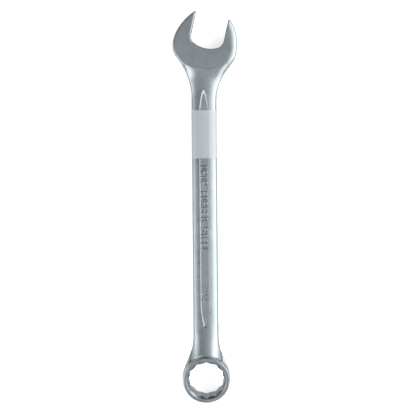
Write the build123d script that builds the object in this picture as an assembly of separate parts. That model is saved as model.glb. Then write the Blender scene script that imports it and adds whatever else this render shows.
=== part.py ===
from build123d import *
from math import atan2, cos, degrees, hypot, radians, sin, sqrt, tan
import os

# A 24 mm combination wrench: one drop forging with an open jaw and a 12-point ring, and a film label
# wound round its shank. Millimetres. The origin is the centre of the ring's bore, +Y runs along the
# shank to the open end, and +Z is square to the shank's faces, on the side where the size is read.

# The fastener that the wrench fits
ACROSS_FLATS = 24.0

# Shank: an oval bar of four tangent arcs, with its middle plane above the centre of the ring
SHANK_HALF_WIDTH = 9.2
SHANK_HALF_THICKNESS = 4.0
SHANK_SIDE_RADIUS = 2.6
SHANK_Z = 4.3
SHANK_START_Y = 38.0
SHANK_END_Y = 196.0

# Ring: a disc with drafted sides, tilted so that its far edge drops away from +Z
RING_RADIUS = 17.4
RING_FACE_RADIUS = 17.0
RING_THICKNESS = 14.2
RING_TILT = 15.0
RING_RIM_FILLET = 0.9
BORE_CORNER_FILLET = 0.45
BORE_LEAD_IN_RADIUS = 14.7
BORE_LEAD_IN_ANGLE = 48.0

# Neck at the ring: the sides bend outwards from the shank and run straight into the ring
RING_NECK_START_Y = 29.4
RING_NECK_RADIUS = 36.0
RING_NECK_ANGLE = 25.0
RING_NECK_END_Y = 7.4
RING_NECK_DROP = 2.0

# Open head: a flat plate with drafted sides
HEAD_HALF_THICKNESS = 5.2
HEAD_DRAFT = 5.0
HEAD_EDGE_BEVEL = 0.8
HEAD_BEVEL_ANGLE = 45.0
HEAD_FACE_X, HEAD_FACE_Y = 2.0, 254.4
HEAD_FACE_RADIUS = 31.0

# Head outline, each side going up: neck arc, bulge, shoulder or straight side, then the prong's taper
LEFT_NECK_START_Y, LEFT_NECK_RADIUS, LEFT_NECK_ANGLE = 201.5, 52.0, 37.5
LEFT_BULGE_RADIUS = 12.8
LEFT_SHOULDER_RADIUS, LEFT_SHOULDER_ANGLE = 22.0, 26.0
LEFT_PRONG_RADIUS, LEFT_PRONG_ANGLE = 40.0, 31.5
RIGHT_NECK_START_Y, RIGHT_NECK_RADIUS, RIGHT_NECK_ANGLE = 200.0, 37.5, 37.0
RIGHT_CHEEK_LENGTH = 4.4
RIGHT_BULGE_RADIUS, RIGHT_SIDE_LENGTH = 25.1, 2.1
RIGHT_PRONG_RADIUS, RIGHT_PRONG_ANGLE = 30.0, 33.0

# Throat: the machined jaw opening, turned from the line of the shank
JAW_ANGLE = 13.0
JAW_AXIS_Y = 234.2
THROAT_DEPTH = 5.0
THROAT_FLOOR_RADIUS = 19.0
THROAT_CORNER_RADIUS = 2.8
JAW_CUT_LENGTH = 45.0
JAW_EDGE_CHAMFER = 0.35

# Sunk panel along each face of the shank: blunt at the ring, pointed at the open head
PANEL_HALF_WIDTH = 4.1
PANEL_TIP_HALF_WIDTH = 1.9
PANEL_DEPTH = 1.0
PANEL_DRAFT = 25.0
PANEL_START_Y, PANEL_TAPER_END_Y = 36.8, 57.0
PANEL_POINT_START_Y, PANEL_END_Y = 188.0, 209.2

PANEL_TIP_FILLET = 1.2

# Film label
LABEL_START_Y, LABEL_END_Y = 159.3, 194.2
LABEL_THICKNESS = 0.2

# How far a cutting shape reaches past the surface that it cuts
CUT_MARGIN = 0.5


def oval(half_width, half_thickness, side_radius):
    """A closed oval of four tangent arcs: two broad crowns and two tight sides."""
    reach = half_width - side_radius
    rise = half_thickness - side_radius
    crown_radius = (reach**2 + half_thickness**2 - side_radius**2) / (2 * rise)
    crown_centre = crown_radius - half_thickness
    crown_angle = degrees(atan2(reach, crown_centre))
    side_angle = 90 - crown_angle
    return make_face(
        [
            CenterArc((reach, 0), side_radius, -side_angle, 2 * side_angle),
            CenterArc((0, -crown_centre), crown_radius, side_angle, 2 * crown_angle),
            CenterArc((-reach, 0), side_radius, 180 - side_angle, 2 * side_angle),
            CenterArc((0, crown_centre), crown_radius, 180 + side_angle, 2 * crown_angle),
        ]
    )


def across_shank(y, x=0.0, z=SHANK_Z):
    """A plane square to the shank at y, facing the ring, with its own axes along the wrench's X and Z."""
    return Plane(origin=(x, y, z), x_dir=(1, 0, 0), z_dir=(0, -1, 0))


def neck_half_width(rise, radius, angle):
    """Half the width of a neck, at a distance `rise` past the place where it leaves the shank."""
    rise = max(0.0, rise)
    arc_rise = radius * sin(radians(angle))
    if rise < arc_rise:
        return SHANK_HALF_WIDTH + radius - sqrt(radius**2 - rise**2)
    arc_spread = radius * (1 - cos(radians(angle)))
    return SHANK_HALF_WIDTH + arc_spread + (rise - arc_rise) * tan(radians(angle))


def ring_neck():
    """The neck that spreads from the shank into the two sides of the ring."""
    stations = [SHANK_START_Y, RING_NECK_START_Y, 24.0, 19.0, 14.0, RING_NECK_END_Y]
    sections = []
    for y in stations:
        rise = RING_NECK_START_Y - y
        half_width = neck_half_width(rise, RING_NECK_RADIUS, RING_NECK_ANGLE)
        drop = RING_NECK_DROP * max(0.0, rise) / (RING_NECK_START_Y - RING_NECK_END_Y)
        section = oval(half_width, SHANK_HALF_THICKNESS, SHANK_SIDE_RADIUS)
        sections.append(across_shank(y, z=SHANK_Z - drop) * section)
    return loft(sections)


def ring_disc():
    """The ring before its bore is cut."""
    half = RING_THICKNESS / 2
    side = Polyline(
        (0, -half), (RING_FACE_RADIUS, -half), (RING_RADIUS, 0), (RING_FACE_RADIUS, half), (0, half)
    )
    profile = make_face([side, Line((0, half), (0, -half))])
    rims = [v for v in profile.vertices() if abs(v.X - RING_FACE_RADIUS) < 0.01]
    profile = fillet(rims, RING_RIM_FILLET)
    return Rot(RING_TILT, 0, 0) * revolve(Plane.XZ * profile, Axis.Z)


def ring_bore():
    """The 12-point bore, two hexagons turned 30 degrees apart, with a conical lead-in at each face."""
    hexagon = RegularPolygon(ACROSS_FLATS / 2, 6, major_radius=False)
    star = hexagon + Rot(0, 0, 30) * hexagon
    corner_radius = ACROSS_FLATS / 2 / cos(radians(30))
    corners = [v for v in star.vertices() if hypot(v.X, v.Y) > corner_radius - CUT_MARGIN]
    star = fillet(corners, BORE_CORNER_FILLET)
    bore = extrude(star, RING_THICKNESS, both=True)

    slope = tan(radians(BORE_LEAD_IN_ANGLE))
    height = (BORE_LEAD_IN_RADIUS - ACROSS_FLATS / 2) * slope + CUT_MARGIN
    lead_in = Cone(ACROSS_FLATS / 2, BORE_LEAD_IN_RADIUS + CUT_MARGIN / slope, height)
    lead_in = Pos(0, 0, RING_THICKNESS / 2 + CUT_MARGIN - height / 2) * lead_in
    bore = bore + lead_in + mirror(lead_in, Plane.XY)
    return Rot(RING_TILT, 0, 0) * bore


def head_outline():
    """The open head seen square on, with the throat still solid."""
    left_foot = (-SHANK_HALF_WIDTH, LEFT_NECK_START_Y)
    left_neck = JernArc(left_foot, (0, 1), LEFT_NECK_RADIUS, LEFT_NECK_ANGLE)
    left_bulge = JernArc(left_neck @ 1, left_neck % 1, LEFT_BULGE_RADIUS, -LEFT_NECK_ANGLE)
    left_shoulder = JernArc(left_bulge @ 1, left_bulge % 1, LEFT_SHOULDER_RADIUS, -LEFT_SHOULDER_ANGLE)
    left_prong = JernArc(left_shoulder @ 1, left_shoulder % 1, LEFT_PRONG_RADIUS, -LEFT_PRONG_ANGLE)

    right_foot = (SHANK_HALF_WIDTH, RIGHT_NECK_START_Y)
    right_neck = JernArc(right_foot, (0, 1), RIGHT_NECK_RADIUS, -RIGHT_NECK_ANGLE)
    right_cheek = PolarLine(right_neck @ 1, RIGHT_CHEEK_LENGTH, direction=right_neck % 1)
    right_bulge = JernArc(right_cheek @ 1, right_cheek % 1, RIGHT_BULGE_RADIUS, RIGHT_NECK_ANGLE)
    right_side = PolarLine(right_bulge @ 1, RIGHT_SIDE_LENGTH, direction=right_bulge % 1)
    right_prong = JernArc(right_side @ 1, right_side % 1, RIGHT_PRONG_RADIUS, RIGHT_PRONG_ANGLE)

    tips = Line(left_prong @ 1, right_prong @ 1)
    base = Line(right_foot, left_foot)
    left_side = [left_neck, left_bulge, left_shoulder, left_prong]
    right_side = [right_prong, right_side, right_bulge, right_cheek, right_neck]
    return make_face(left_side + [tips] + right_side + [base])


def head_neck():
    """The neck that spreads and thickens from the shank into the open head, as (y, half thickness)."""
    stations = [
        (SHANK_END_Y, 4.0),
        (202.0, 4.0),
        (208.0, 4.1),
        (214.0, 4.4),
        (219.0, 4.7),
        (224.0, 4.95),
        (228.0, 5.05),
        (233.0, 5.1),
    ]
    sections = []
    for y, half_thickness in stations:
        left = neck_half_width(y - LEFT_NECK_START_Y, LEFT_NECK_RADIUS, LEFT_NECK_ANGLE)
        right = neck_half_width(y - RIGHT_NECK_START_Y, RIGHT_NECK_RADIUS, RIGHT_NECK_ANGLE)
        section = oval((left + right) / 2, half_thickness, SHANK_SIDE_RADIUS)
        sections.append(across_shank(y, x=(right - left) / 2) * section)
    drafted = extrude(head_outline(), HEAD_HALF_THICKNESS, dir=(0, 0, 1), taper=HEAD_DRAFT)
    shank_end = Pos(0, LEFT_NECK_START_Y) * Box(
        2 * SHANK_HALF_WIDTH + CUT_MARGIN, 2 * (LEFT_NECK_START_Y - SHANK_END_Y), 2 * HEAD_HALF_THICKNESS
    )
    envelope = drafted + mirror(drafted, Plane.XY) + shank_end
    return loft(sections) & (Pos(0, 0, SHANK_Z) * envelope)


def head_plate():
    """The flat plate of the open head. Its face ends on a round line above the neck."""
    face_area = Pos(HEAD_FACE_X, HEAD_FACE_Y) * Circle(HEAD_FACE_RADIUS)
    half = extrude(face_area & head_outline(), HEAD_HALF_THICKNESS - HEAD_EDGE_BEVEL, taper=HEAD_DRAFT)
    top = half.faces().sort_by(Axis.Z)[-1]
    half += extrude(top, HEAD_EDGE_BEVEL, taper=HEAD_BEVEL_ANGLE)
    return Pos(0, 0, SHANK_Z) * (half + mirror(half, Plane.XY))


def throat():
    """The jaw opening as a solid, with a small flare at both faces of the head."""
    half_gap = ACROSS_FLATS / 2
    side_foot = THROAT_DEPTH + THROAT_FLOOR_RADIUS - sqrt(THROAT_FLOOR_RADIUS**2 - half_gap**2)
    floor = ThreePointArc((-half_gap, side_foot), (0, THROAT_DEPTH), (half_gap, side_foot))
    right_wall = Line((half_gap, side_foot), (half_gap, JAW_CUT_LENGTH))
    left_wall = mirror(right_wall, Plane.YZ)
    mouth = Line(left_wall @ 1, right_wall @ 1)
    outline = make_face([floor, right_wall, mouth, left_wall])
    outline = fillet(outline.vertices().group_by(Axis.Y)[0], THROAT_CORNER_RADIUS)
    cut = extrude(outline, HEAD_HALF_THICKNESS + CUT_MARGIN, both=True)
    flare_start = Pos(0, 0, HEAD_HALF_THICKNESS - JAW_EDGE_CHAMFER)
    flare = extrude(flare_start * outline, JAW_EDGE_CHAMFER + CUT_MARGIN, taper=-45)
    cut = cut + flare + mirror(flare, Plane.XY)
    return Pos(0, JAW_AXIS_Y, SHANK_Z) * Rot(0, 0, -JAW_ANGLE) * cut


def panel():
    """One sunk panel as a solid, wider at the surface than at its floor, on the +Z face of the shank."""
    wide, narrow = PANEL_HALF_WIDTH, PANEL_TIP_HALF_WIDTH
    side = Polyline((narrow, PANEL_START_Y), (wide, PANEL_TAPER_END_Y), (wide, PANEL_POINT_START_Y))
    point_length = PANEL_END_Y - PANEL_POINT_START_Y
    point_radius = (point_length**2 + wide**2) / (2 * wide)
    point = RadiusArc((wide, PANEL_POINT_START_Y), (0, PANEL_END_Y), -point_radius)
    base = Line((-narrow, PANEL_START_Y), (narrow, PANEL_START_Y))
    outline = make_face([base, side, point, mirror(point, Plane.YZ), mirror(side, Plane.YZ)])
    outline = fillet(outline.vertices().group_by(Axis.Y)[0], PANEL_TIP_FILLET)
    floor_z = SHANK_Z + SHANK_HALF_THICKNESS - PANEL_DEPTH
    return extrude(Pos(0, 0, floor_z) * outline, PANEL_DEPTH + CUT_MARGIN, taper=-PANEL_DRAFT)


def forging():
    """The whole steel body."""
    section = oval(SHANK_HALF_WIDTH, SHANK_HALF_THICKNESS, SHANK_SIDE_RADIUS)
    shank = extrude(across_shank(SHANK_END_Y) * section, SHANK_END_Y - SHANK_START_Y)
    body = shank + ring_neck() + ring_disc() + head_neck() + head_plate()
    front_panel = panel()
    back_panel = mirror(front_panel, Plane((0, 0, SHANK_Z)))
    return body - ring_bore() - throat() - front_panel - back_panel


def label():
    """The film label: a thin closed sleeve that follows the outside of the shank."""
    inside = oval(SHANK_HALF_WIDTH, SHANK_HALF_THICKNESS, SHANK_SIDE_RADIUS)
    outside = oval(
        SHANK_HALF_WIDTH + LABEL_THICKNESS,
        SHANK_HALF_THICKNESS + LABEL_THICKNESS,
        SHANK_SIDE_RADIUS + LABEL_THICKNESS,
    )
    return extrude(across_shank(LABEL_END_Y) * (outside - inside), LABEL_END_Y - LABEL_START_Y)


os.makedirs("parts", exist_ok=True)
for name, shape in (("forged_body", forging()), ("film_label", label())):
    shape.label = name
    export_step(shape, f"parts/{name}.step")
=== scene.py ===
"""Looks of the 24 mm combination wrench: the drop-forged, satin-chromed body and the film label round it.

The body is shaped as a distance field in millimetres, in the frame of the CAD model, and turned into a mesh:
rounded bars, plates and discs are joined with fillets, the jaw and the panels are cut from them, and the
bore and the raised marks follow with exact booleans.
"""

import math

import bmesh
import bpy
import numpy as np
from mathutils import Matrix, Vector

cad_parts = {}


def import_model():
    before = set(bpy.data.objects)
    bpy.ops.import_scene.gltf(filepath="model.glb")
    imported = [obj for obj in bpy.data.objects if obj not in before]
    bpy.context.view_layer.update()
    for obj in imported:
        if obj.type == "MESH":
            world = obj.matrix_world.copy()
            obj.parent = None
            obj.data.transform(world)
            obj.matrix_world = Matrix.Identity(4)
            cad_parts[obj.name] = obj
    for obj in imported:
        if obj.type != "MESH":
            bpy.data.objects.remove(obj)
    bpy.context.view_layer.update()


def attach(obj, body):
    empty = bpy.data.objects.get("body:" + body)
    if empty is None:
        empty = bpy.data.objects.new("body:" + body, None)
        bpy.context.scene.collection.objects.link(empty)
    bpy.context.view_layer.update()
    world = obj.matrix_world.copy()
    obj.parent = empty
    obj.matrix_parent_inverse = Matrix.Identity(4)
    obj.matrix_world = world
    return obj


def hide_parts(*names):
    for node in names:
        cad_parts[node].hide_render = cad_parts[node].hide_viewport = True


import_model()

MM = 0.001

# Sizes in millimetres. The main ones follow the CAD model, and the small ones shape what only the looks have.
ACROSS_FLATS = 24.0
SHANK_Z = 4.3
SHANK_HALF_WIDTH = 9.2
SHANK_HALF_THICKNESS = 4.0
SHANK_SIDE_RADIUS = 2.6
TRIM_FLAT = 0.07
BAR_START_Y, BAR_END_Y = 6.0, 236.0

RING_RADIUS = 17.34
RING_BARREL = 0.35
RING_HALF_THICKNESS = 7.03
RING_TILT = math.radians(15.0)
RING_BEVEL_WIDTH = 0.5
RING_BEVEL_ANGLE = math.radians(30.0)
RING_NECK_START_Y = 29.4
RING_NECK_RADIUS = 36.0
RING_SHOULDER_START_Y, RING_SHOULDER_ANGLE = 31.1, 22.0
RING_CROWN_ANGLE = 8.0
RING_CROWN_RISE = 3.2
RING_BLEND_START_Y, RING_BLEND_LENGTH = 36.0, 30.0
RING_SIDE_TIGHTENING = 1.3
CROWN_BELOW_RING_FACE = 0.6
RIM_GROOVE_DEPTH, RIM_GROOVE_WIDTH, RIM_GROOVE_EXTRA_WIDTH = 0.7, 0.8, 0.4

SHOULDER_START_Y, SHOULDER_END_Y = 40.0, 7.0
SHOULDER_HALF_THICKNESS, SHOULDER_SIDE_RADIUS = 3.1, 0.8
SHOULDER_DROP, SHOULDER_DROP_LENGTH = 2.0, 23.7
CREASE_DEPTH, CREASE_WIDTH = 0.9, 1.4
CREASE_RISE, CREASE_RUN_IN = 6.0, 6.0

HEAD_HALF_THICKNESS = 5.2
HEAD_DRAFT = math.tan(math.radians(5.0))
HEAD_FACE_CENTRE = (2.0, 254.4)
HEAD_FACE_RADIUS = 31.0
HEAD_BLEND_START_Y, HEAD_BLEND_LENGTH = 202.0, 28.0
HEAD_CROWN_RISE = 0.8
HEAD_SIDE_TIGHTENING = 0.5
HEAD_OUTLINE_FROM_Y = 190.0
HEAD_FLANK_FROM_Y = 205.0
HEAD_FALL_SLOPE, HEAD_MAX_FALL = 1.5, 9.0
HEAD_BEVEL_DEPTH = 0.5
RIGHT_SIDE_START_X, RIGHT_SIDE_LENGTH = 2.0, 14.0
FACE_RAMP_LENGTH, FACE_RAMP_EXTRA_ON_RIGHT = 9.0, 3.0
EDGE_ROLL_REACH, EDGE_ROLL_EXTRA_ON_RIGHT, EDGE_ROLL_LESS_AT_LEFT_TIP = 2.2, 3.3, 1.7
EDGE_ROLL_SLOPE, EDGE_ROLL_EXTRA_SLOPE_ON_RIGHT = 0.48, 0.1
EDGE_ROLL_LIMIT = 2.0
LEFT_TIP_START_Y, LEFT_TIP_LENGTH = 238.0, 10.0
EDGE_ROUNDING = 0.4

LEFT_NECK_START_Y, LEFT_NECK_RADIUS, LEFT_NECK_ANGLE = 201.5, 52.0, 37.5
RIGHT_NECK_START_Y, RIGHT_NECK_RADIUS, RIGHT_NECK_ANGLE = 200.0, 37.5, 37.0

JAW_ANGLE = math.radians(13.0)
JAW_AXIS_Y = 234.2
THROAT_DEPTH = 5.0
THROAT_FLOOR_RADIUS = 19.0
THROAT_CORNER_RADIUS = 2.8
THROAT_EDGE, THROAT_EXTRA_EDGE_ON_LEFT = 0.3, 1.1

PANEL_HALF_WIDTH = 3.85
PANEL_BLUNT_HALF_WIDTH = 1.3
PANEL_DEPTH = 0.8
PANEL_DRAFT = math.tan(math.radians(54.0))
PANEL_START_Y, PANEL_TAPER_LENGTH = 36.8, 20.0
PANEL_POINT_START_Y, PANEL_END_Y = 188.0, 208.8
PANEL_POINT_POWER = 0.66
PANEL_CENTRE_X = -0.3

BORE_CORNER_FILLET = 0.45
BORE_HALF_LENGTH = 9.0
BORE_EDGE_RADIUS, BORE_EDGE_DEPTH = 14.5, 0.12
BORE_LEAD_IN_RADIUS, BORE_LEAD_IN_RUN = 14.3, 2.4
BORE_LEAD_IN_ANGLE = 53.0

WORDS, WORDS_Y, WORDS_PITCH = "DROP FORGED STEEL", 154.0, 3.72
SIZE_MARK, SIZE_MARK_Y, SIZE_MARK_PITCH = "24", 62.9, 4.22
LETTER_HEIGHT, LETTER_WIDTH = 5.4, 2.8
LETTER_MIDDLE_X = -0.55
STROKE = 0.33
LETTER_RELIEF = 0.42
LETTER_ROOT = 0.35

LABEL_START_Y, LABEL_END_Y = 159.3, 194.2
LABEL_THICKNESS = 0.09
LABEL_OVERLAP, LABEL_LAP_SHIFT = 5.0, 3.0
LABEL_SAG, LABEL_SAG_EDGE = 0.16, 3.0
LABEL_GAP, LABEL_WAVE = 0.012, 0.012

# Grid lines for the meshes, as stretches of (start, end, spacing)
BODY_GRID = (
    [(-24.0, 26.0, 0.45)],
    [
        (-19.5, 44.0, 0.45),
        (44.0, 60.0, 0.8),
        (60.0, 180.0, 1.5),
        (180.0, 200.0, 0.8),
        (200.0, 268.5, 0.45),
    ],
    [(-12.2, 12.2, 0.42)],
)
MARKS_GRID_X, MARKS_GRID_Y = [(-4.0, 4.0, 0.2)], [(50.0, 156.0, 0.2)]
MARKS_GRID_BELOW, MARKS_GRID_ABOVE, MARKS_GRID_RISE = 0.6, 0.8, 0.18


# ---------------------------------------------------------------- distance fields

def smooth_step(t):
    """From zero at t = 0 to one at t = 1, level at both ends."""
    t = np.clip(t, 0.0, 1.0)
    return t * t * (3.0 - 2.0 * t)


def join(a, b, fillet):
    """Union of two fields with a round fillet in the corner between them."""
    outside = np.maximum(fillet, np.minimum(a, b))
    return outside - np.hypot(np.maximum(fillet - a, 0.0), np.maximum(fillet - b, 0.0))


def common(a, b, rounding):
    """Intersection of two fields with its edge rounded."""
    return -join(-a, -b, rounding)


def crown_radius_of(half_width, half_thickness, side_radius):
    """Radius of an oval's broad arcs, which are tangent to its tight sides."""
    reach = half_width - side_radius
    return (reach**2 + half_thickness**2 - side_radius**2) / (2.0 * (half_thickness - side_radius))


def oval(x, z, half_width, half_thickness, side_radius):
    """Distance to an oval of four tangent arcs, two broad crowns and two tight sides."""
    reach = half_width - side_radius
    crown_radius = crown_radius_of(half_width, half_thickness, side_radius)
    centre = crown_radius - half_thickness
    px, pz = np.abs(x), np.abs(z)
    crown = np.hypot(px, pz + centre) - crown_radius
    side = np.hypot(px - reach, pz) - side_radius
    return np.where(px * centre < reach * (pz + centre), crown, side)


def crown_height(x, half_width, half_thickness, side_radius):
    """Height of the oval's crown above its middle."""
    reach = half_width - side_radius
    crown_radius = crown_radius_of(half_width, half_thickness, side_radius)
    return np.sqrt(crown_radius**2 - np.minimum(np.abs(x), reach) ** 2) - crown_radius + half_thickness


def neck_half_width(rise, radius, angle):
    """Half the width of a neck at a distance `rise` past its start: an arc, then a straight flare."""
    rise = np.maximum(rise, 0.0)
    angle = math.radians(angle)
    arc_rise = radius * math.sin(angle)
    on_arc = radius - np.sqrt(radius**2 - np.minimum(rise, arc_rise) ** 2)
    return SHANK_HALF_WIDTH + on_arc + np.maximum(rise - arc_rise, 0.0) * math.tan(angle)


def walk(start, heading, moves, step=0.4):
    """Points along tangent arcs and lines. A move is (radius, degrees turned to the left) or (None, length)."""
    position, heading = np.array(start, float), math.radians(heading)
    points = [position]
    for radius, amount in moves:
        if radius is None:
            position = position + amount * np.array([math.cos(heading), math.sin(heading)])
            points.append(position)
            continue
        turn = math.radians(amount)
        side = math.copysign(1.0, turn)
        centre = position + side * radius * np.array([-math.sin(heading), math.cos(heading)])
        pieces = max(2, int(abs(turn) * radius / step))
        for t in np.linspace(0.0, turn, pieces + 1)[1:]:
            a = heading + t
            points.append(centre - side * radius * np.array([-math.sin(a), math.cos(a)]))
        position, heading = points[-1], heading + turn
    return points


def head_outline():
    """The open head seen square on, with the throat still solid, as a closed loop of points."""
    left = walk(
        (-SHANK_HALF_WIDTH, LEFT_NECK_START_Y), 90,
        [(LEFT_NECK_RADIUS, LEFT_NECK_ANGLE), (12.8, -LEFT_NECK_ANGLE), (22.0, -26.0), (40.0, -31.5)],
    )
    right = walk(
        (SHANK_HALF_WIDTH, RIGHT_NECK_START_Y), 90,
        [
            (RIGHT_NECK_RADIUS, -RIGHT_NECK_ANGLE), (None, 4.4),
            (25.1, RIGHT_NECK_ANGLE), (None, 2.1), (30.0, 33.0),
        ],
    )
    return np.array(left + right[::-1])


HEAD_OUTLINE = head_outline()


def outline_distance(x, y):
    """Signed distance from points to the head's outline, negative inside."""
    x, y = np.broadcast_arrays(x, y)
    shape = x.shape
    x, y = x.ravel().astype(float), y.ravel().astype(float)
    best = np.full(x.shape, np.inf)
    crossings = np.zeros(x.shape, int)
    for (ax, ay), (bx, by) in zip(HEAD_OUTLINE, np.roll(HEAD_OUTLINE, -1, axis=0)):
        ex, ey = bx - ax, by - ay
        t = np.clip(((x - ax) * ex + (y - ay) * ey) / (ex * ex + ey * ey), 0.0, 1.0)
        best = np.minimum(best, np.hypot(x - ax - t * ex, y - ay - t * ey))
        spans = (ay > y) != (by > y)
        if ay != by:
            crossings += spans & (x < ax + (y - ay) * ex / ey)
    return np.where(crossings % 2 == 1, -best, best).reshape(shape)


def face_distance(x, y):
    """Distance past the round border where the head's flat face ends towards the shank, negative on it."""
    return np.hypot(x - HEAD_FACE_CENTRE[0], y - HEAD_FACE_CENTRE[1]) - HEAD_FACE_RADIUS


def on_right(x):
    """From zero on the head's left to one on its right, where its edges are rounder."""
    return smooth_step((x - RIGHT_SIDE_START_X) / RIGHT_SIDE_LENGTH)


def shank_field(x, y, z, outline):
    """The bar with both of its necks, as one oval whose width and thickness change along it.

    It is lifted near the head, so that it meets the border of the head's flat face.
    """
    left = neck_half_width(y - LEFT_NECK_START_Y, LEFT_NECK_RADIUS, LEFT_NECK_ANGLE)
    right = neck_half_width(y - RIGHT_NECK_START_Y, RIGHT_NECK_RADIUS, RIGHT_NECK_ANGLE)
    ring_rise = RING_NECK_START_Y - y
    crown = neck_half_width(ring_rise, RING_NECK_RADIUS, RING_CROWN_ANGLE) - SHANK_HALF_WIDTH
    half_width = (left + right) / 2 + crown
    to_head = smooth_step((y - HEAD_BLEND_START_Y) / HEAD_BLEND_LENGTH)
    to_ring = np.clip((RING_BLEND_START_Y - y) / RING_BLEND_LENGTH, 0.0, 1.0) ** 2
    half_thickness = SHANK_HALF_THICKNESS + HEAD_CROWN_RISE * to_head + RING_CROWN_RISE * to_ring
    side_radius = SHANK_SIDE_RADIUS - RING_SIDE_TIGHTENING * to_ring - HEAD_SIDE_TIGHTENING * to_head
    off_centre = (right - left) / 2
    past = face_distance(x, y)
    ramp_length = FACE_RAMP_LENGTH + FACE_RAMP_EXTRA_ON_RIGHT * on_right(x)
    ramp = np.clip(1.0 - past / ramp_length, 0.0, 1.0) ** 2
    # Inside the border the bar dips below the face, so that the face alone is the surface there
    sunk = np.clip(0.3 * (-past - 0.6), 0.0, 2.0) + 0.03
    edge = HEAD_HALF_THICKNESS - edge_roll(x, y, outline) - sunk
    lift = ramp * (edge - crown_height(x - off_centre, half_width, half_thickness, side_radius))
    height = np.maximum(np.abs(z - SHANK_Z) - lift, 0.0)
    bar = oval(x - off_centre, height, half_width, half_thickness, side_radius)
    sides = np.abs(x - off_centre) - half_width + TRIM_FLAT
    bar = common(bar, sides, rounding=0.15 + 0.2 * to_ring)
    flank = outline + HEAD_DRAFT * np.abs(z - SHANK_Z)
    bar = np.where(y > HEAD_FLANK_FROM_Y, common(bar, flank, rounding=0.8), bar)
    over_ring = -y * math.sin(RING_TILT) + z * math.cos(RING_TILT) - RING_HALF_THICKNESS + CROWN_BELOW_RING_FACE
    return np.maximum(np.maximum(bar, over_ring), np.maximum(BAR_START_Y - y, y - BAR_END_Y))


def shoulder_field(x, y, z, bar):
    """The lower shoulders that carry the neck's sides into the ring, sunk a little along the neck's crown."""
    rise = RING_SHOULDER_START_Y - y
    half_width = neck_half_width(rise, RING_NECK_RADIUS, RING_SHOULDER_ANGLE)
    drop = SHOULDER_DROP * np.clip(rise / SHOULDER_DROP_LENGTH, 0.0, 1.0)
    height = z - SHANK_Z + drop
    shoulder = oval(x, height, half_width, SHOULDER_HALF_THICKNESS, SHOULDER_SIDE_RADIUS)
    on_front = smooth_step(height / 0.6)
    crease = CREASE_DEPTH * smooth_step((rise - CREASE_RISE) / CREASE_RUN_IN) * on_front
    shoulder = shoulder + crease * (1.0 - smooth_step(bar / CREASE_WIDTH))
    return np.maximum(np.maximum(shoulder, SHOULDER_END_Y - y), y - SHOULDER_START_Y)


def ring_field(x, y, z):
    """The tilted disc of the ring, with barrelled sides and a shallow bevel round each face."""
    along = y * math.cos(RING_TILT) + z * math.sin(RING_TILT)
    through = np.abs(-y * math.sin(RING_TILT) + z * math.cos(RING_TILT))
    radius = np.hypot(x, along)
    side = radius - RING_RADIUS + RING_BARREL * (through / RING_HALF_THICKNESS) ** 2
    face = through - RING_HALF_THICKNESS
    bevel = radius - (RING_RADIUS - RING_BARREL - RING_BEVEL_WIDTH)
    bevel = bevel * math.sin(RING_BEVEL_ANGLE) + face * math.cos(RING_BEVEL_ANGLE)
    return common(side, np.maximum(face, bevel), EDGE_ROUNDING)


def edge_roll(x, y, outline):
    """How far the head's face has rolled down near its outline: most on the right, least at the left tip."""
    right = on_right(x)
    left_tip = smooth_step((y - LEFT_TIP_START_Y) / LEFT_TIP_LENGTH) * (1.0 - right)
    reach = EDGE_ROLL_REACH + EDGE_ROLL_EXTRA_ON_RIGHT * right - EDGE_ROLL_LESS_AT_LEFT_TIP * left_tip
    slope = EDGE_ROLL_SLOPE + EDGE_ROLL_EXTRA_SLOPE_ON_RIGHT * right
    return np.minimum(slope * np.maximum(reach + outline, 0.0) ** 2 / (2.0 * reach), EDGE_ROLL_LIMIT)


def head_field(x, y, z, outline):
    """The head's flat plate. It falls away softly on the right, and its face ends crisply on the left."""
    height = np.abs(z - SHANK_Z)
    softness = 0.2 + 1.5 * on_right(x)
    past = face_distance(x, y)
    fall = np.where(past < softness, np.maximum(past + softness, 0.0) ** 2 / (4.0 * softness), past)
    fall = np.minimum(HEAD_FALL_SLOPE * fall, HEAD_MAX_FALL)
    face = height - HEAD_HALF_THICKNESS + fall + edge_roll(x, y, outline)
    flank = outline + HEAD_DRAFT * height + 0.05
    bevel = (flank + height - HEAD_HALF_THICKNESS) * math.sqrt(0.5) + HEAD_BEVEL_DEPTH
    return np.maximum(common(flank, face, EDGE_ROUNDING), bevel)


def throat_field(x, y):
    """The jaw opening, negative inside it, and the distance across it from its middle."""
    across = math.cos(JAW_ANGLE) * x - math.sin(JAW_ANGLE) * (y - JAW_AXIS_Y)
    along = math.sin(JAW_ANGLE) * x + math.cos(JAW_ANGLE) * (y - JAW_AXIS_Y)
    centre = THROAT_DEPTH + THROAT_FLOOR_RADIUS
    floor = np.hypot(across, np.minimum(along - centre, 0.0)) - THROAT_FLOOR_RADIUS
    opening = common(np.abs(across) - ACROSS_FLATS / 2, floor, THROAT_CORNER_RADIUS)
    return opening, across


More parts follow.
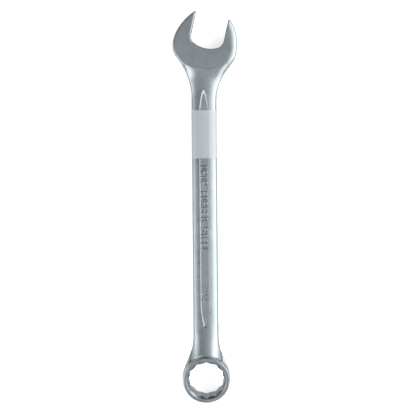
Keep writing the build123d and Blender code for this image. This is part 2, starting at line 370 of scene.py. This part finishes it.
def body_field(x, y, z):
    """The whole body without its bore and its raised marks."""
    far_outside = 60.0
    outline = np.full(np.broadcast(x, y).shape, far_outside)
    in_head = np.broadcast_to(y > HEAD_OUTLINE_FROM_Y, outline.shape)
    bx, by = np.broadcast_arrays(x, y)
    if in_head.any():
        outline[in_head] = outline_distance(bx[in_head], by[in_head])
    shank = shank_field(x, y, z, outline)
    neck = join(shank, shoulder_field(x, y, z, shank), fillet=0.2)
    ring = ring_field(x, y, z)
    # A shallow groove on the front, along the ring's rim, which is wider towards the middle
    width = RIM_GROOVE_WIDTH + RIM_GROOVE_EXTRA_WIDTH * smooth_step((10.0 - np.abs(x)) / 6.0)
    groove = RIM_GROOVE_DEPTH * (1.0 - smooth_step(ring / width)) * smooth_step(z - SHANK_Z)
    body = join(neck + groove, ring, fillet=0.3)
    body = join(body, head_field(x, y, z, outline), fillet=0.3)
    opening, across = throat_field(x, y)
    # The jaw's left side has the rounder edge
    edge = THROAT_EDGE + THROAT_EXTRA_EDGE_ON_LEFT * smooth_step((-across - 6.0) / 5.0)
    return common(body, -opening, edge)


# ---------------------------------------------------------------- field to mesh

def steps(stretches):
    """Grid lines along one axis: each stretch is (start, end, spacing)."""
    lines = [np.array([stretches[0][0]])]
    for start, end, spacing in stretches:
        count = int(round((end - start) / spacing))
        lines.append(start + (end - start) * np.arange(1, count + 1) / count)
    return np.concatenate(lines)


def surface_net(field, axes):
    """Vertices and quads of the field's zero surface on a grid, one vertex in each cell that it crosses."""
    gx, gy, gz = axes
    values = field(gx[:, None, None], gy[None, :, None], gz[None, None, :])
    inside = values < 0.0
    cells = tuple(len(a) - 1 for a in axes)
    total = np.zeros((cells[0] * cells[1] * cells[2], 3))
    count = np.zeros(total.shape[0])
    quads = []
    for axis in range(3):
        low = [slice(None)] * 3
        high = [slice(None)] * 3
        low[axis], high[axis] = slice(None, -1), slice(1, None)
        a, b = values[tuple(low)], values[tuple(high)]
        at = np.nonzero(inside[tuple(low)] != inside[tuple(high)])
        t = a[at] / (a[at] - b[at])
        point = [axes[i][at[i]] for i in range(3)]
        start, end = axes[axis][at[axis]], axes[axis][at[axis] + 1]
        point[axis] = start + t * (end - start)
        point = np.stack(point, 1)
        others = [i for i in range(3) if i != axis]
        ring = []
        for du, dv in ((0, 0), (1, 0), (1, 1), (0, 1)):
            cell = list(at)
            cell[others[0]] = cell[others[0]] - du
            cell[others[1]] = cell[others[1]] - dv
            index = (cell[0] * cells[1] + cell[1]) * cells[2] + cell[2]
            for i in range(3):
                total[:, i] += np.bincount(index, point[:, i], total.shape[0])
            count += np.bincount(index, minlength=total.shape[0])
            ring.append(index)
        ring = np.stack(ring, 1)
        flip = inside[tuple(low)][at] != (axis != 1)
        ring[flip] = ring[flip][:, ::-1]
        quads.append(ring)
    used = np.nonzero(count)[0]
    number = np.zeros(total.shape[0], int)
    number[used] = np.arange(len(used))
    return total[used] / count[used, None], number[np.concatenate(quads)]


def pull_to_surface(field, points, rounds=3, small=0.02, longest_step=0.2):
    """Moves points along the field's slope until they lie on its zero surface."""
    for _ in range(rounds):
        x, y, z = points.T
        value = field(x, y, z)
        slope = np.stack(
            [field(x + small, y, z) - value, field(x, y + small, z) - value, field(x, y, z + small) - value], 1
        ) / small
        length = np.maximum((slope**2).sum(1), 0.2)
        points = points - np.clip(value / length, -longest_step, longest_step)[:, None] * slope
    return points


def mesh_object(name, points, faces):
    """A closed mesh in metres from points in millimetres, with its faces turned outwards."""
    mesh = bpy.data.meshes.new(name)
    mesh.from_pydata((points * MM).tolist(), [], [tuple(face) for face in faces])
    mesh.validate()
    work = bmesh.new()
    work.from_mesh(mesh)
    if work.calc_volume(signed=True) < 0.0:
        bmesh.ops.reverse_faces(work, faces=work.faces[:])
        work.to_mesh(mesh)
    work.free()
    made = bpy.data.objects.new(name, mesh)
    bpy.context.scene.collection.objects.link(made)
    return made


def apply_boolean(target, tool, operation):
    """Cuts or joins a tool, applies the result to the target's mesh and removes the tool."""
    modifier = target.modifiers.new("cut", "BOOLEAN")
    modifier.operation = operation
    modifier.solver = "MANIFOLD"
    modifier.object = tool
    bpy.context.view_layer.update()
    evaluated = target.evaluated_get(bpy.context.evaluated_depsgraph_get())
    result = bpy.data.meshes.new_from_object(evaluated)
    target.modifiers.clear()
    target.data = result
    bpy.data.objects.remove(tool)


def prism(name, loops, frame_matrix, cap=None):
    """A closed mesh from a stack of loops that have the same number of points.

    `cap` lists the faces that close a loop; without it, one face does.
    """
    count = len(loops[0])
    cap = cap or [tuple(range(count))]
    points = np.concatenate([np.asarray(loop, float) for loop in loops])
    points = points @ frame_matrix.T
    faces = []
    for layer in range(len(loops) - 1):
        a, b = layer * count, (layer + 1) * count
        faces += [(a + i, a + (i + 1) % count, b + (i + 1) % count, b + i) for i in range(count)]
    last = (len(loops) - 1) * count
    faces += [face[::-1] for face in cap]
    faces += [tuple(last + i for i in face) for face in cap]
    return mesh_object(name, points, faces)


# Turns points from the ring's own tilted frame into the object's
RING_FRAME = np.array(
    [
        [1.0, 0.0, 0.0],
        [0.0, math.cos(RING_TILT), -math.sin(RING_TILT)],
        [0.0, math.sin(RING_TILT), math.cos(RING_TILT)],
    ]
)


def star_loop(height):
    """The twelve-point outline of the bore: two hexagons, with their outer corners rounded."""
    flat = ACROSS_FLATS / 2
    valley = flat / math.cos(math.radians(15.0))
    corner = flat / math.cos(math.radians(30.0))
    loop = []
    for k in range(12):
        tip = math.radians(30.0 * k)
        centre = corner - BORE_CORNER_FILLET / math.cos(math.radians(30.0))
        for turn in np.linspace(-30.0, 30.0, 7):
            a = tip + math.radians(turn)
            loop.append((
                centre * math.cos(tip) + BORE_CORNER_FILLET * math.cos(a),
                centre * math.sin(tip) + BORE_CORNER_FILLET * math.sin(a),
                height,
            ))
        between = tip + math.radians(15.0)
        loop.append((valley * math.cos(between), valley * math.sin(between), height))
    return loop


def circle_loop(radius, height, count=120):
    return [
        (radius * math.cos(a), radius * math.sin(a), height)
        for a in np.arange(count) * (2 * math.pi / count)
    ]


def cut_bore(body):
    """The twelve-point bore, with a lead-in cone and a narrow flare at both of its mouths."""
    star = prism("bore", [star_loop(-BORE_HALF_LENGTH), star_loop(BORE_HALF_LENGTH)], RING_FRAME)
    apply_boolean(body, star, "DIFFERENCE")
    rise = BORE_LEAD_IN_RUN * math.tan(math.radians(BORE_LEAD_IN_ANGLE))
    edge = RING_HALF_THICKNESS - BORE_EDGE_DEPTH
    flare = (BORE_EDGE_RADIUS - BORE_LEAD_IN_RADIUS) / BORE_EDGE_DEPTH
    for side in (-1.0, 1.0):
        loops = [
            circle_loop(BORE_LEAD_IN_RADIUS - BORE_LEAD_IN_RUN, side * (edge - rise)),
            circle_loop(BORE_LEAD_IN_RADIUS, side * edge),
            circle_loop(BORE_EDGE_RADIUS + flare, side * (RING_HALF_THICKNESS + 1.0)),
        ]
        apply_boolean(body, prism("lead_in", loops if side > 0 else loops[::-1], RING_FRAME), "DIFFERENCE")


# Each letter is a list of strokes on a grid 2 wide and 4 high; the corners marked 1 are rounded.
LETTERS = {
    "D": [[(0, 0, 0), (0, 4, 0), (2, 4, 1), (2, 0, 1), (0, 0, 0)]],
    "R": [[(0, 0, 0), (0, 4, 0), (2, 4, 1), (2, 2, 1), (0, 2, 0)], [(1, 2, 0), (2, 0, 0)]],
    "O": [[(1, 0, 0), (0, 0, 1), (0, 4, 1), (2, 4, 1), (2, 0, 1), (1, 0, 0)]],
    "P": [[(0, 0, 0), (0, 4, 0), (2, 4, 1), (2, 1.8, 1), (0, 1.8, 0)]],
    "F": [[(0, 0, 0), (0, 4, 0), (2, 4, 0)], [(0, 2.1, 0), (1.6, 2.1, 0)]],
    "G": [[(2, 3.2, 0), (2, 4, 1), (0, 4, 1), (0, 0, 1), (2, 0, 1), (2, 1.9, 0), (1.1, 1.9, 0)]],
    "E": [[(2, 0, 0), (0, 0, 0), (0, 4, 0), (2, 4, 0)], [(0, 2.1, 0), (1.6, 2.1, 0)]],
    "S": [[(2, 3.3, 0), (2, 4, 1), (0, 4, 1), (0, 2.1, 1), (2, 2.1, 1), (2, 0, 1), (0, 0, 1), (0, 0.7, 0)]],
    "T": [[(0, 4, 0), (2, 4, 0)], [(1, 4, 0), (1, 0, 0)]],
    "L": [[(0, 4, 0), (0, 0, 0), (2, 0, 0)]],
    "2": [[(0, 3.2, 0), (0, 4, 1), (2, 4, 1), (2, 2.4, 1), (0, 0, 0), (2, 0, 0)]],
    "4": [[(1.5, 0, 0), (1.5, 4, 0), (0, 1.2, 0), (2, 1.2, 0)]],
}


def round_corners(stroke, cut=0.55):
    """The points of a stroke, with each marked corner replaced by a short curve."""
    points = []
    for i, (x, y, rounded) in enumerate(stroke):
        here = np.array([x, y], float)
        if not rounded:
            points.append(here)
            continue
        before = np.array(stroke[i - 1][:2], float) - here
        after = np.array(stroke[i + 1][:2], float) - here
        start = here + before * min(cut / np.linalg.norm(before) * 1.4, 0.5)
        end = here + after * min(cut / np.linalg.norm(after) * 1.4, 0.5)
        for t in np.linspace(0.0, 1.0, 6):
            points.append((1 - t) ** 2 * start + 2 * t * (1 - t) * here + t**2 * end)
    return points


def mark_strokes():
    """The raised words and the size mark as line segments, reading from the open end to the ring."""
    segments = []
    for text, y, pitch in ((WORDS, WORDS_Y, WORDS_PITCH), (SIZE_MARK, SIZE_MARK_Y, SIZE_MARK_PITCH)):
        for letter in text:
            for stroke in LETTERS.get(letter, []):
                points = [
                    (
                        LETTER_MIDDLE_X + (py / 4.0 - 0.5) * (LETTER_HEIGHT - 2 * STROKE),
                        y - STROKE - px / 2.0 * (LETTER_WIDTH - 2 * STROKE),
                    )
                    for px, py in round_corners(stroke)
                ]
                segments += list(zip(points[:-1], points[1:]))
            y -= pitch
    return segments


def raised_marks():
    """The words and the size mark as one thin mesh that stands on the panel's floor."""
    segments = mark_strokes()
    floor = SHANK_Z + SHANK_HALF_THICKNESS - PANEL_DEPTH
    far_outside, margin = 9.0, 1.2

    def flat_distance(x, y):
        """Distance to the strokes seen square on, worked out only near each of them."""
        best = np.full(np.broadcast(x, y).shape, far_outside)
        bx, by = np.broadcast_arrays(x, y)
        for (ax, ay), (ex, ey) in segments:
            near = (by > min(ay, ey) - margin) & (by < max(ay, ey) + margin)
            px, py = bx[near] - ax, by[near] - ay
            dx, dy = ex - ax, ey - ay
            t = np.clip((px * dx + py * dy) / (dx * dx + dy * dy), 0.0, 1.0)
            best[near] = np.minimum(best[near], np.hypot(px - t * dx, py - t * dy))
        return best - STROKE

    def field(x, y, z):
        height = z - floor
        flank = (flat_distance(x, y) + 0.9 * (height - LETTER_RELIEF / 2)) / 1.35
        return np.maximum(common(flank, height - LETTER_RELIEF, rounding=0.15), -LETTER_ROOT - height)

    grid_z = [(floor - MARKS_GRID_BELOW, floor + MARKS_GRID_ABOVE, MARKS_GRID_RISE)]
    points, quads = surface_net(field, (steps(MARKS_GRID_X), steps(MARKS_GRID_Y), steps(grid_z)))
    return mesh_object("marks", points, quads)


def panel_loop(spread, height):
    """A sunk panel's outline, widened by `spread`: a blunt tip by the ring, a rounded point by the head."""
    right = [
        (PANEL_BLUNT_HALF_WIDTH - 0.5, PANEL_START_Y),
        (PANEL_BLUNT_HALF_WIDTH - 0.15, PANEL_START_Y + 0.15),
    ]
    for t in np.linspace(0.0, 1.0, 16) ** 1.5:
        narrowed = (PANEL_HALF_WIDTH - PANEL_BLUNT_HALF_WIDTH) * (1.0 - t) ** 2.2
        right.append((PANEL_HALF_WIDTH - narrowed, PANEL_START_Y + 0.5 + (PANEL_TAPER_LENGTH - 0.5) * t))
    straight_start = PANEL_START_Y + PANEL_TAPER_LENGTH
    right += [(PANEL_HALF_WIDTH, y) for y in np.linspace(straight_start, PANEL_POINT_START_Y, 66)[1:-1]]
    for t in np.sin(np.linspace(0.0, math.pi / 2, 30))[:-1]:
        y = PANEL_POINT_START_Y + (PANEL_END_Y - PANEL_POINT_START_Y) * t
        right.append((PANEL_HALF_WIDTH * (1.0 - t * t) ** PANEL_POINT_POWER, y))
    loop = np.array(right + [(0.0, PANEL_END_Y)] + [(-x, y) for x, y in right[::-1]])
    along = np.roll(loop, -1, axis=0) - np.roll(loop, 1, axis=0)
    outward = np.stack([along[:, 1], -along[:, 0]], 1)
    outward /= np.linalg.norm(outward, axis=1)[:, None]
    loop = loop + spread * outward + (PANEL_CENTRE_X, 0.0)
    return np.column_stack([loop, np.full(len(loop), height)])


def cut_panels(body):
    """One sunk panel in each face of the shank. The tool reaches `tool_height` above the panel's floor."""
    floor = SHANK_HALF_THICKNESS - PANEL_DEPTH
    tool_height = 3.0
    for side in (1.0, -1.0):
        loops = [
            panel_loop((level - PANEL_DEPTH) * PANEL_DRAFT, SHANK_Z + side * (floor + level))
            for level in (0.0, tool_height)
        ]
        count = len(loops[0])
        tip = count // 2
        cap = [(i, i + 1, count - 2 - i, count - 1 - i) for i in range(tip - 1)]
        cap.append((tip - 1, tip, tip + 1))
        tool = prism("panel", loops if side > 0 else loops[::-1], np.eye(3), cap)
        apply_boolean(body, tool, "DIFFERENCE")


def shade(made, sharp_angle, flat_height=None):
    """Smooth shading with sharp edges past an angle, and plain flat faces on the panels' floors."""
    polygons = made.data.polygons
    smooth = np.ones(len(polygons), bool)
    if flat_height is not None:
        centre, normal = np.empty(len(polygons) * 3), np.empty(len(polygons) * 3)
        polygons.foreach_get("center", centre)
        polygons.foreach_get("normal", normal)
        level = np.abs(centre.reshape(-1, 3)[:, 2] / MM - SHANK_Z)
        on_floor = np.abs(level - flat_height) <= 0.01
        smooth = ~on_floor | (np.abs(normal.reshape(-1, 3)[:, 2]) < 0.999)
    made.data.set_sharp_from_angle(angle=math.radians(sharp_angle))
    polygons.foreach_set("use_smooth", smooth)


def forged_body():
    """The whole steel tool as one closed mesh."""
    points, quads = surface_net(body_field, [steps(stretches) for stretches in BODY_GRID])
    points = pull_to_surface(body_field, points)
    body = mesh_object("forged_steel_body", points, quads)
    cut_bore(body)
    cut_panels(body)
    apply_boolean(body, raised_marks(), "UNION")
    shade(body, sharp_angle=38.0, flat_height=SHANK_HALF_THICKNESS - PANEL_DEPTH)
    return body


def label_profile(count):
    """Points and outward normals round the shank's section, from the middle of the back round to it again."""
    reach = SHANK_HALF_WIDTH - SHANK_SIDE_RADIUS
    crown_radius = crown_radius_of(SHANK_HALF_WIDTH, SHANK_HALF_THICKNESS, SHANK_SIDE_RADIUS)
    tilt = math.asin(reach / (crown_radius - SHANK_SIDE_RADIUS))
    corner = math.pi / 2 - tilt
    lengths = [crown_radius * tilt, SHANK_SIDE_RADIUS * 2 * corner, crown_radius * 2 * tilt]
    quarter = np.cumsum([lengths[0], lengths[1], lengths[2], lengths[1], lengths[0]])
    total = quarter[-1]
    travel = np.linspace(0.0, total + LABEL_OVERLAP, count)
    points, normals = [], []
    for s in travel:
        s = (s - LABEL_OVERLAP / 2 - LABEL_LAP_SHIFT) % total
        if s < quarter[0] or s >= quarter[3]:
            a = (s if s < quarter[0] else s - total) / crown_radius
            normal = np.array([math.sin(a), -math.cos(a)])
            point = np.array([0.0, crown_radius - SHANK_HALF_THICKNESS]) + crown_radius * normal
        elif s < quarter[1]:
            a = tilt + (s - quarter[0]) / SHANK_SIDE_RADIUS
            normal = np.array([math.sin(a), -math.cos(a)])
            point = np.array([reach, 0.0]) + SHANK_SIDE_RADIUS * normal
        elif s < quarter[2]:
            a = (s - quarter[1]) / crown_radius - tilt
            normal = np.array([-math.sin(a), math.cos(a)])
            point = np.array([0.0, SHANK_HALF_THICKNESS - crown_radius]) + crown_radius * normal
        else:
            a = tilt + (s - quarter[2]) / SHANK_SIDE_RADIUS
            normal = np.array([-math.sin(a), math.cos(a)])
            point = np.array([-reach, 0.0]) + SHANK_SIDE_RADIUS * normal
        points.append(point)
        normals.append(normal)
    return travel, np.array(points), np.array(normals), total


def film_label():
    """A thin film wound once round the shank, lapped on the back, with a slight sag over the panels."""
    around, rows = 260, 56
    travel, points, normals, total = label_profile(around)
    lapped = smooth_step((travel - total + 1.0) / 1.0)
    y = np.linspace(LABEL_START_Y, LABEL_END_Y, rows)
    inner, outer = [], []
    for row in y:
        edge = min(row - LABEL_START_Y, LABEL_END_Y - row)
        into_point = max(0.0, (row - PANEL_POINT_START_Y) / (PANEL_END_Y - PANEL_POINT_START_Y))
        half_width = PANEL_HALF_WIDTH * (1.0 - into_point**2) ** PANEL_POINT_POWER
        across = np.abs(points[:, 0] - PANEL_CENTRE_X) / half_width
        sag = LABEL_SAG * np.clip(1.0 - across**2, 0.0, 1.0) * smooth_step(edge / LABEL_SAG_EDGE + 0.4)
        wave = LABEL_WAVE * np.sin(travel * 0.9 + 0.35 * row) * np.sin(0.42 * row + 0.3 * travel)
        lift = LABEL_GAP + lapped * (LABEL_THICKNESS + 0.01) - sag + np.abs(wave)
        for ring, offset in ((inner, lift), (outer, lift + LABEL_THICKNESS)):
            flat = points + normals * offset[:, None]
            ring.append(np.column_stack([flat[:, 0], np.full(around, row), flat[:, 1] + SHANK_Z]))
    grid = np.array([inner, outer])
    count = rows * around
    index = np.arange(2 * count).reshape(2, rows, around)
    faces = []
    for layer, flip in ((0, False), (1, True)):
        a, b = index[layer, :-1, :-1], index[layer, :-1, 1:]
        c, d = index[layer, 1:, 1:], index[layer, 1:, :-1]
        quad = np.stack([a, b, c, d], -1).reshape(-1, 4)
        faces.append(quad[:, ::-1] if flip else quad)
    rims = [(index[:, 0], True), (index[:, -1], False), (index[:, :, 0], False), (index[:, :, -1], True)]
    for rim, flip in rims:
        quad = np.stack([rim[0, :-1], rim[0, 1:], rim[1, 1:], rim[1, :-1]], -1)
        faces.append(quad[:, ::-1] if flip else quad)
    made = mesh_object("blank_film_label", grid.reshape(-1, 3), np.concatenate(faces))
    shade(made, sharp_angle=45.0)
    return made


# ---------------------------------------------------------------- materials

SATIN_DARK, SATIN_LIGHT = (0.325, 0.366, 0.388, 1.0), (0.445, 0.490, 0.512, 1.0)
BLASTED_DARK, BLASTED_LIGHT = (0.355, 0.40, 0.43, 1.0), (0.475, 0.52, 0.55, 1.0)
FILM_DARK, FILM_LIGHT = (0.53, 0.575, 0.60, 1.0), (0.60, 0.645, 0.665, 1.0)

# How many times a noise repeats in a metre, about
CLOUD_SCALE, MOTTLE_SCALE, FIBRE_SCALE, GRIT_SCALE, GRAIN_SCALE = 45.0, 160.0, 900.0, 950.0, 2600.0


class Nodes:
    """A short way to write a node tree."""

    def __init__(self, tree):
        self.tree = tree

    def add(self, kind, inputs=None, **settings):
        node = self.tree.nodes.new(kind)
        for key, value in settings.items():
            setattr(node, key, value)
        for key, value in (inputs or {}).items():
            if isinstance(value, bpy.types.NodeSocket):
                self.tree.links.new(value, node.inputs[key])
            else:
                node.inputs[key].default_value = value
        return node

    def noise(self, where, scale, detail=2.0, roughness=0.5):
        inputs = {"Vector": where, "Scale": scale, "Detail": detail, "Roughness": roughness}
        return self.add("ShaderNodeTexNoise", inputs).outputs["Fac"]

    def spread(self, value, low, high, to_low, to_high):
        inputs = {"Value": value, "From Min": low, "From Max": high, "To Min": to_low, "To Max": to_high}
        return self.add("ShaderNodeMapRange", inputs).outputs["Result"]

    def maths(self, operation, a, b):
        return self.add("ShaderNodeMath", {0: a, 1: b}, operation=operation).outputs[0]

    def blend(self, factor, a, b):
        node = self.add("ShaderNodeMix", data_type="RGBA")
        for socket, value in ((node.inputs["Factor"], factor), (node.inputs[6], a), (node.inputs[7], b)):
            if isinstance(value, bpy.types.NodeSocket):
                self.tree.links.new(value, socket)
            else:
                socket.default_value = value
        return node.outputs[2]


def material(name):
    """A new material, with its shader and a writer for its nodes."""
    made = bpy.data.materials.new(name)
    made.use_nodes = True
    shader = made.node_tree.nodes["Principled BSDF"]
    return made, shader, Nodes(made.node_tree)


def panel_floors(nodes, where):
    """One on the sunk floors of the two panels, which keep the rougher, lighter finish of the blasting."""
    place = nodes.add("ShaderNodeSeparateXYZ", {"Vector": where})
    height = nodes.maths("ABSOLUTE", nodes.maths("SUBTRACT", place.outputs["Z"], SHANK_Z * MM), 0.0)
    near_floor = nodes.spread(height, 3.25 * MM, 3.65 * MM, 1.0, 0.0)
    off_centre = nodes.maths("ABSOLUTE", nodes.maths("SUBTRACT", place.outputs["X"], PANEL_CENTRE_X * MM), 0.0)
    between_walls = nodes.spread(off_centre, 4.15 * MM, 4.2 * MM, 1.0, 0.0)
    past_ring = nodes.spread(place.outputs["Y"], 34.0 * MM, 35.0 * MM, 0.0, 1.0)
    return nodes.maths("MULTIPLY", nodes.maths("MULTIPLY", near_floor, between_walls), past_ring)


def satin_chrome():
    """Chrome plating over a blasted forging: a soft gloss with clouds, mottling, fine pits and grain."""
    made, shader, nodes = material("satin_chrome")
    where = nodes.add("ShaderNodeTexCoord").outputs["Object"]
    mottle = nodes.noise(where, MOTTLE_SCALE, 4.0, 0.6)
    cloud = nodes.noise(where, CLOUD_SCALE, 2.0)
    grit = nodes.noise(where, GRIT_SCALE, 3.0, 0.65)
    grain = nodes.noise(where, GRAIN_SCALE, 3.0, 0.7)
    mottled = nodes.spread(mottle, 0.35, 0.65, 0.0, 0.35)
    clouded = nodes.spread(cloud, 0.4, 0.6, 0.0, 0.25)
    tone = nodes.maths("ADD", mottled, clouded)
    tone = nodes.maths("ADD", tone, nodes.spread(grit, 0.38, 0.62, 0.0, 0.4))
    satin = nodes.blend(tone, SATIN_DARK, SATIN_LIGHT)
    blasted = nodes.blend(tone, BLASTED_DARK, BLASTED_LIGHT)
    in_panel = panel_floors(nodes, where)
    shader.inputs["Metallic"].default_value = 1.0
    nodes.tree.links.new(nodes.blend(in_panel, satin, blasted), shader.inputs["Base Color"])
    plain_roughness = nodes.spread(mottle, 0.3, 0.7, 0.27, 0.35)
    roughness = nodes.maths("ADD", plain_roughness, nodes.maths("MULTIPLY", in_panel, 0.06))
    roughness = nodes.maths("ADD", roughness, nodes.spread(grit, 0.35, 0.65, -0.03, 0.05))
    nodes.tree.links.new(roughness, shader.inputs["Roughness"])
    pits = nodes.add("ShaderNodeBump", {"Strength": 0.6, "Distance": 0.04 * MM, "Height": grit})
    inputs = {"Strength": 0.25, "Distance": 0.03 * MM, "Height": grain, "Normal": pits.outputs["Normal"]}
    bump = nodes.add("ShaderNodeBump", inputs)
    nodes.tree.links.new(bump.outputs["Normal"], shader.inputs["Normal"])
    return made


def label_film_material():
    """A plain silvery film with a fine fibrous texture."""
    made, shader, nodes = material("label_film")
    where = nodes.add("ShaderNodeTexCoord").outputs["Object"]
    fibre = nodes.noise(where, FIBRE_SCALE, 3.0, 0.6)
    colour = nodes.blend(fibre, FILM_DARK, FILM_LIGHT)
    nodes.tree.links.new(colour, shader.inputs["Base Color"])
    shader.inputs["Metallic"].default_value = 0.4
    nodes.tree.links.new(nodes.spread(fibre, 0.3, 0.7, 0.42, 0.52), shader.inputs["Roughness"])
    bump = nodes.add("ShaderNodeBump", {"Strength": 0.15, "Distance": 0.02 * MM, "Height": fibre})
    nodes.tree.links.new(bump.outputs["Normal"], shader.inputs["Normal"])
    return made


# ---------------------------------------------------------------- studio

# The picture's width, and the point that it looks straight down at, in metres
PICTURE_WIDTH = 0.3009
PICTURE_CENTRE = Vector((0.00187, 0.12375, SHANK_Z * MM))
PICTURE_LEAN = math.radians(0.5)
CAMERA_DISTANCE = 2.4
SENSOR = 36.0

LAMP_DISTANCE = 1.6

# Name, first and last angle from the vertical (to the right is positive), length along Y, strength, middle in Y
LAMPS = [
    ("right_softbox", 38.0, 66.0, 2.8, 2.3, 0.0),
    ("right_veil", 27.0, 38.0, 2.8, 0.7, 0.0),
    ("right_low_softbox", 66.0, 80.0, 2.8, 0.9, 0.0),
    ("left_softbox", -49.0, -66.0, 1.9, 2.5, -0.7),
    ("left_veil", -39.0, -49.0, 1.85, 1.4, -0.725),
    ("left_low_softbox", -66.0, -78.0, 1.9, 1.2, -0.7),
    ("lower_left_softbox", -20.0, -49.0, 1.3, 1.8, -1.1),
]

BACKDROP_SEEN_STRENGTH = 0.85
FLOOR_GAP = 0.0001
FLOOR_RADIUS, FLOOR_SIDES = 6.0, 48


def camera():
    """The view straight down on the object, turned by the small angle at which it lies in the picture."""
    data = bpy.data.cameras.new("camera")
    data.sensor_width = SENSOR
    data.lens = SENSOR * CAMERA_DISTANCE / PICTURE_WIDTH
    data.clip_start, data.clip_end = 0.05, 20.0
    made = bpy.data.objects.new("camera", data)
    bpy.context.scene.collection.objects.link(made)
    turn = Matrix.Rotation(-PICTURE_LEAN, 4, "Z")
    made.matrix_world = Matrix.Translation(PICTURE_CENTRE + Vector((0.0, 0.0, CAMERA_DISTANCE))) @ turn
    bpy.context.scene.camera = made


def softbox(name, start, end, length, strength, centre_y):
    """A lamp whose face spans the given angles from the vertical, seen from the object."""
    a, b = math.radians(start), math.radians(end)
    first = Vector((LAMP_DISTANCE * math.sin(a), 0.0, LAMP_DISTANCE * math.cos(a)))
    last = Vector((LAMP_DISTANCE * math.sin(b), 0.0, LAMP_DISTANCE * math.cos(b)))
    middle = (first + last) / 2
    data = bpy.data.lights.new(name, "AREA")
    data.shape = "RECTANGLE"
    data.size = (last - first).length
    data.size_y = length
    data.energy = strength * math.pi * data.size * data.size_y
    made = bpy.data.objects.new(name, data)
    bpy.context.scene.collection.objects.link(made)
    across = (last - first).normalized()
    along = Vector((0.0, 1.0, 0.0))
    back = across.cross(along)
    if back.dot(middle) < 0:
        across, back = -across, -back
    turn = Matrix((across, along, back)).transposed().to_4x4()
    made.matrix_world = Matrix.Translation(middle + Vector((0.0, centre_y, 0.0))) @ turn
    made.visible_camera = False


def world():
    """A studio that is brightest overhead and on the right, darkest beyond the head, and plain where seen."""
    made = bpy.data.worlds.new("studio")
    made.use_nodes = True
    nodes = Nodes(made.node_tree)
    background = made.node_tree.nodes["Background"]
    direction = nodes.add("ShaderNodeTexCoord").outputs["Generated"]
    way = nodes.add("ShaderNodeSeparateXYZ", {"Vector": direction})
    to_top = nodes.spread(way.outputs["Y"], 0.05, 0.75, 1.0, 0.12)
    to_right = nodes.spread(way.outputs["X"], -0.6, 0.6, 0.30, 0.90)
    to_ring = nodes.spread(way.outputs["Y"], -0.55, -0.35, 0.72, 1.0)
    upward = nodes.spread(way.outputs["Z"], 0.1, 0.5, 0.35, 1.0)
    level = nodes.maths("MULTIPLY", nodes.maths("MULTIPLY", to_top, to_ring), to_right)
    level = nodes.maths("MULTIPLY", level, upward)
    seen = nodes.add("ShaderNodeLightPath").outputs["Is Camera Ray"]
    inputs = {"Factor": seen, "A": level, "B": BACKDROP_SEEN_STRENGTH}
    level = nodes.add("ShaderNodeMix", inputs).outputs["Result"]
    background.inputs["Color"].default_value = (0.97, 0.985, 1.0, 1.0)
    made.node_tree.links.new(level, background.inputs["Strength"])
    bpy.context.scene.world = made


def floor(body):
    """A pale floor that the ring and the head rest on, so it slopes a little along Y."""
    points = np.empty(len(body.data.vertices) * 3)
    body.data.vertices.foreach_get("co", points)
    points = points.reshape(-1, 3)
    low = points[points[:, 2].argmin()]
    at_head = points[points[:, 1] > 150.0 * MM]
    slope = ((at_head[:, 2] - low[2]) / (at_head[:, 1] - low[1])).min()
    at_ring = points[points[:, 1] < 30.0 * MM]
    drop = (at_ring[:, 2] - low[2] - slope * (at_ring[:, 1] - low[1])).min()
    z0 = low[2] + min(drop, 0.0) - slope * low[1] - FLOOR_GAP
    mesh = bpy.data.meshes.new("floor")
    rim = [
        (FLOOR_RADIUS * math.cos(a), FLOOR_RADIUS * math.sin(a), z0 + slope * FLOOR_RADIUS * math.sin(a))
        for a in np.arange(FLOOR_SIDES) * (2 * math.pi / FLOOR_SIDES)
    ]
    mesh.from_pydata(rim, [], [tuple(range(FLOOR_SIDES))])
    made = bpy.data.objects.new("floor", mesh)
    bpy.context.scene.collection.objects.link(made)
    pale, shader, nodes = material("pale_floor")
    shader.inputs["Base Color"].default_value = (0.93, 0.935, 0.94, 1.0)
    shader.inputs["Roughness"].default_value = 0.9
    shader.inputs["Specular IOR Level"].default_value = 0.1
    shader.inputs["Emission Color"].default_value = (1.0, 1.0, 1.0, 1.0)
    seen = nodes.add("ShaderNodeLightPath").outputs["Is Camera Ray"]
    nodes.tree.links.new(nodes.spread(seen, 0.0, 1.0, 0.2, 0.65), shader.inputs["Emission Strength"])
    mesh.materials.append(pale)


camera()
world()
for lamp in LAMPS:
    softbox(*lamp)

body = forged_body()
body.data.materials.clear()
body.data.materials.append(satin_chrome())
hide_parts("forged_body")
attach(body, "root")

label = film_label()
label.data.materials.append(label_film_material())
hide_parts("film_label")
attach(label, "root")

floor(body)

bpy.context.scene.view_settings.view_transform = "Standard"

bpy.context.view_layer.update()
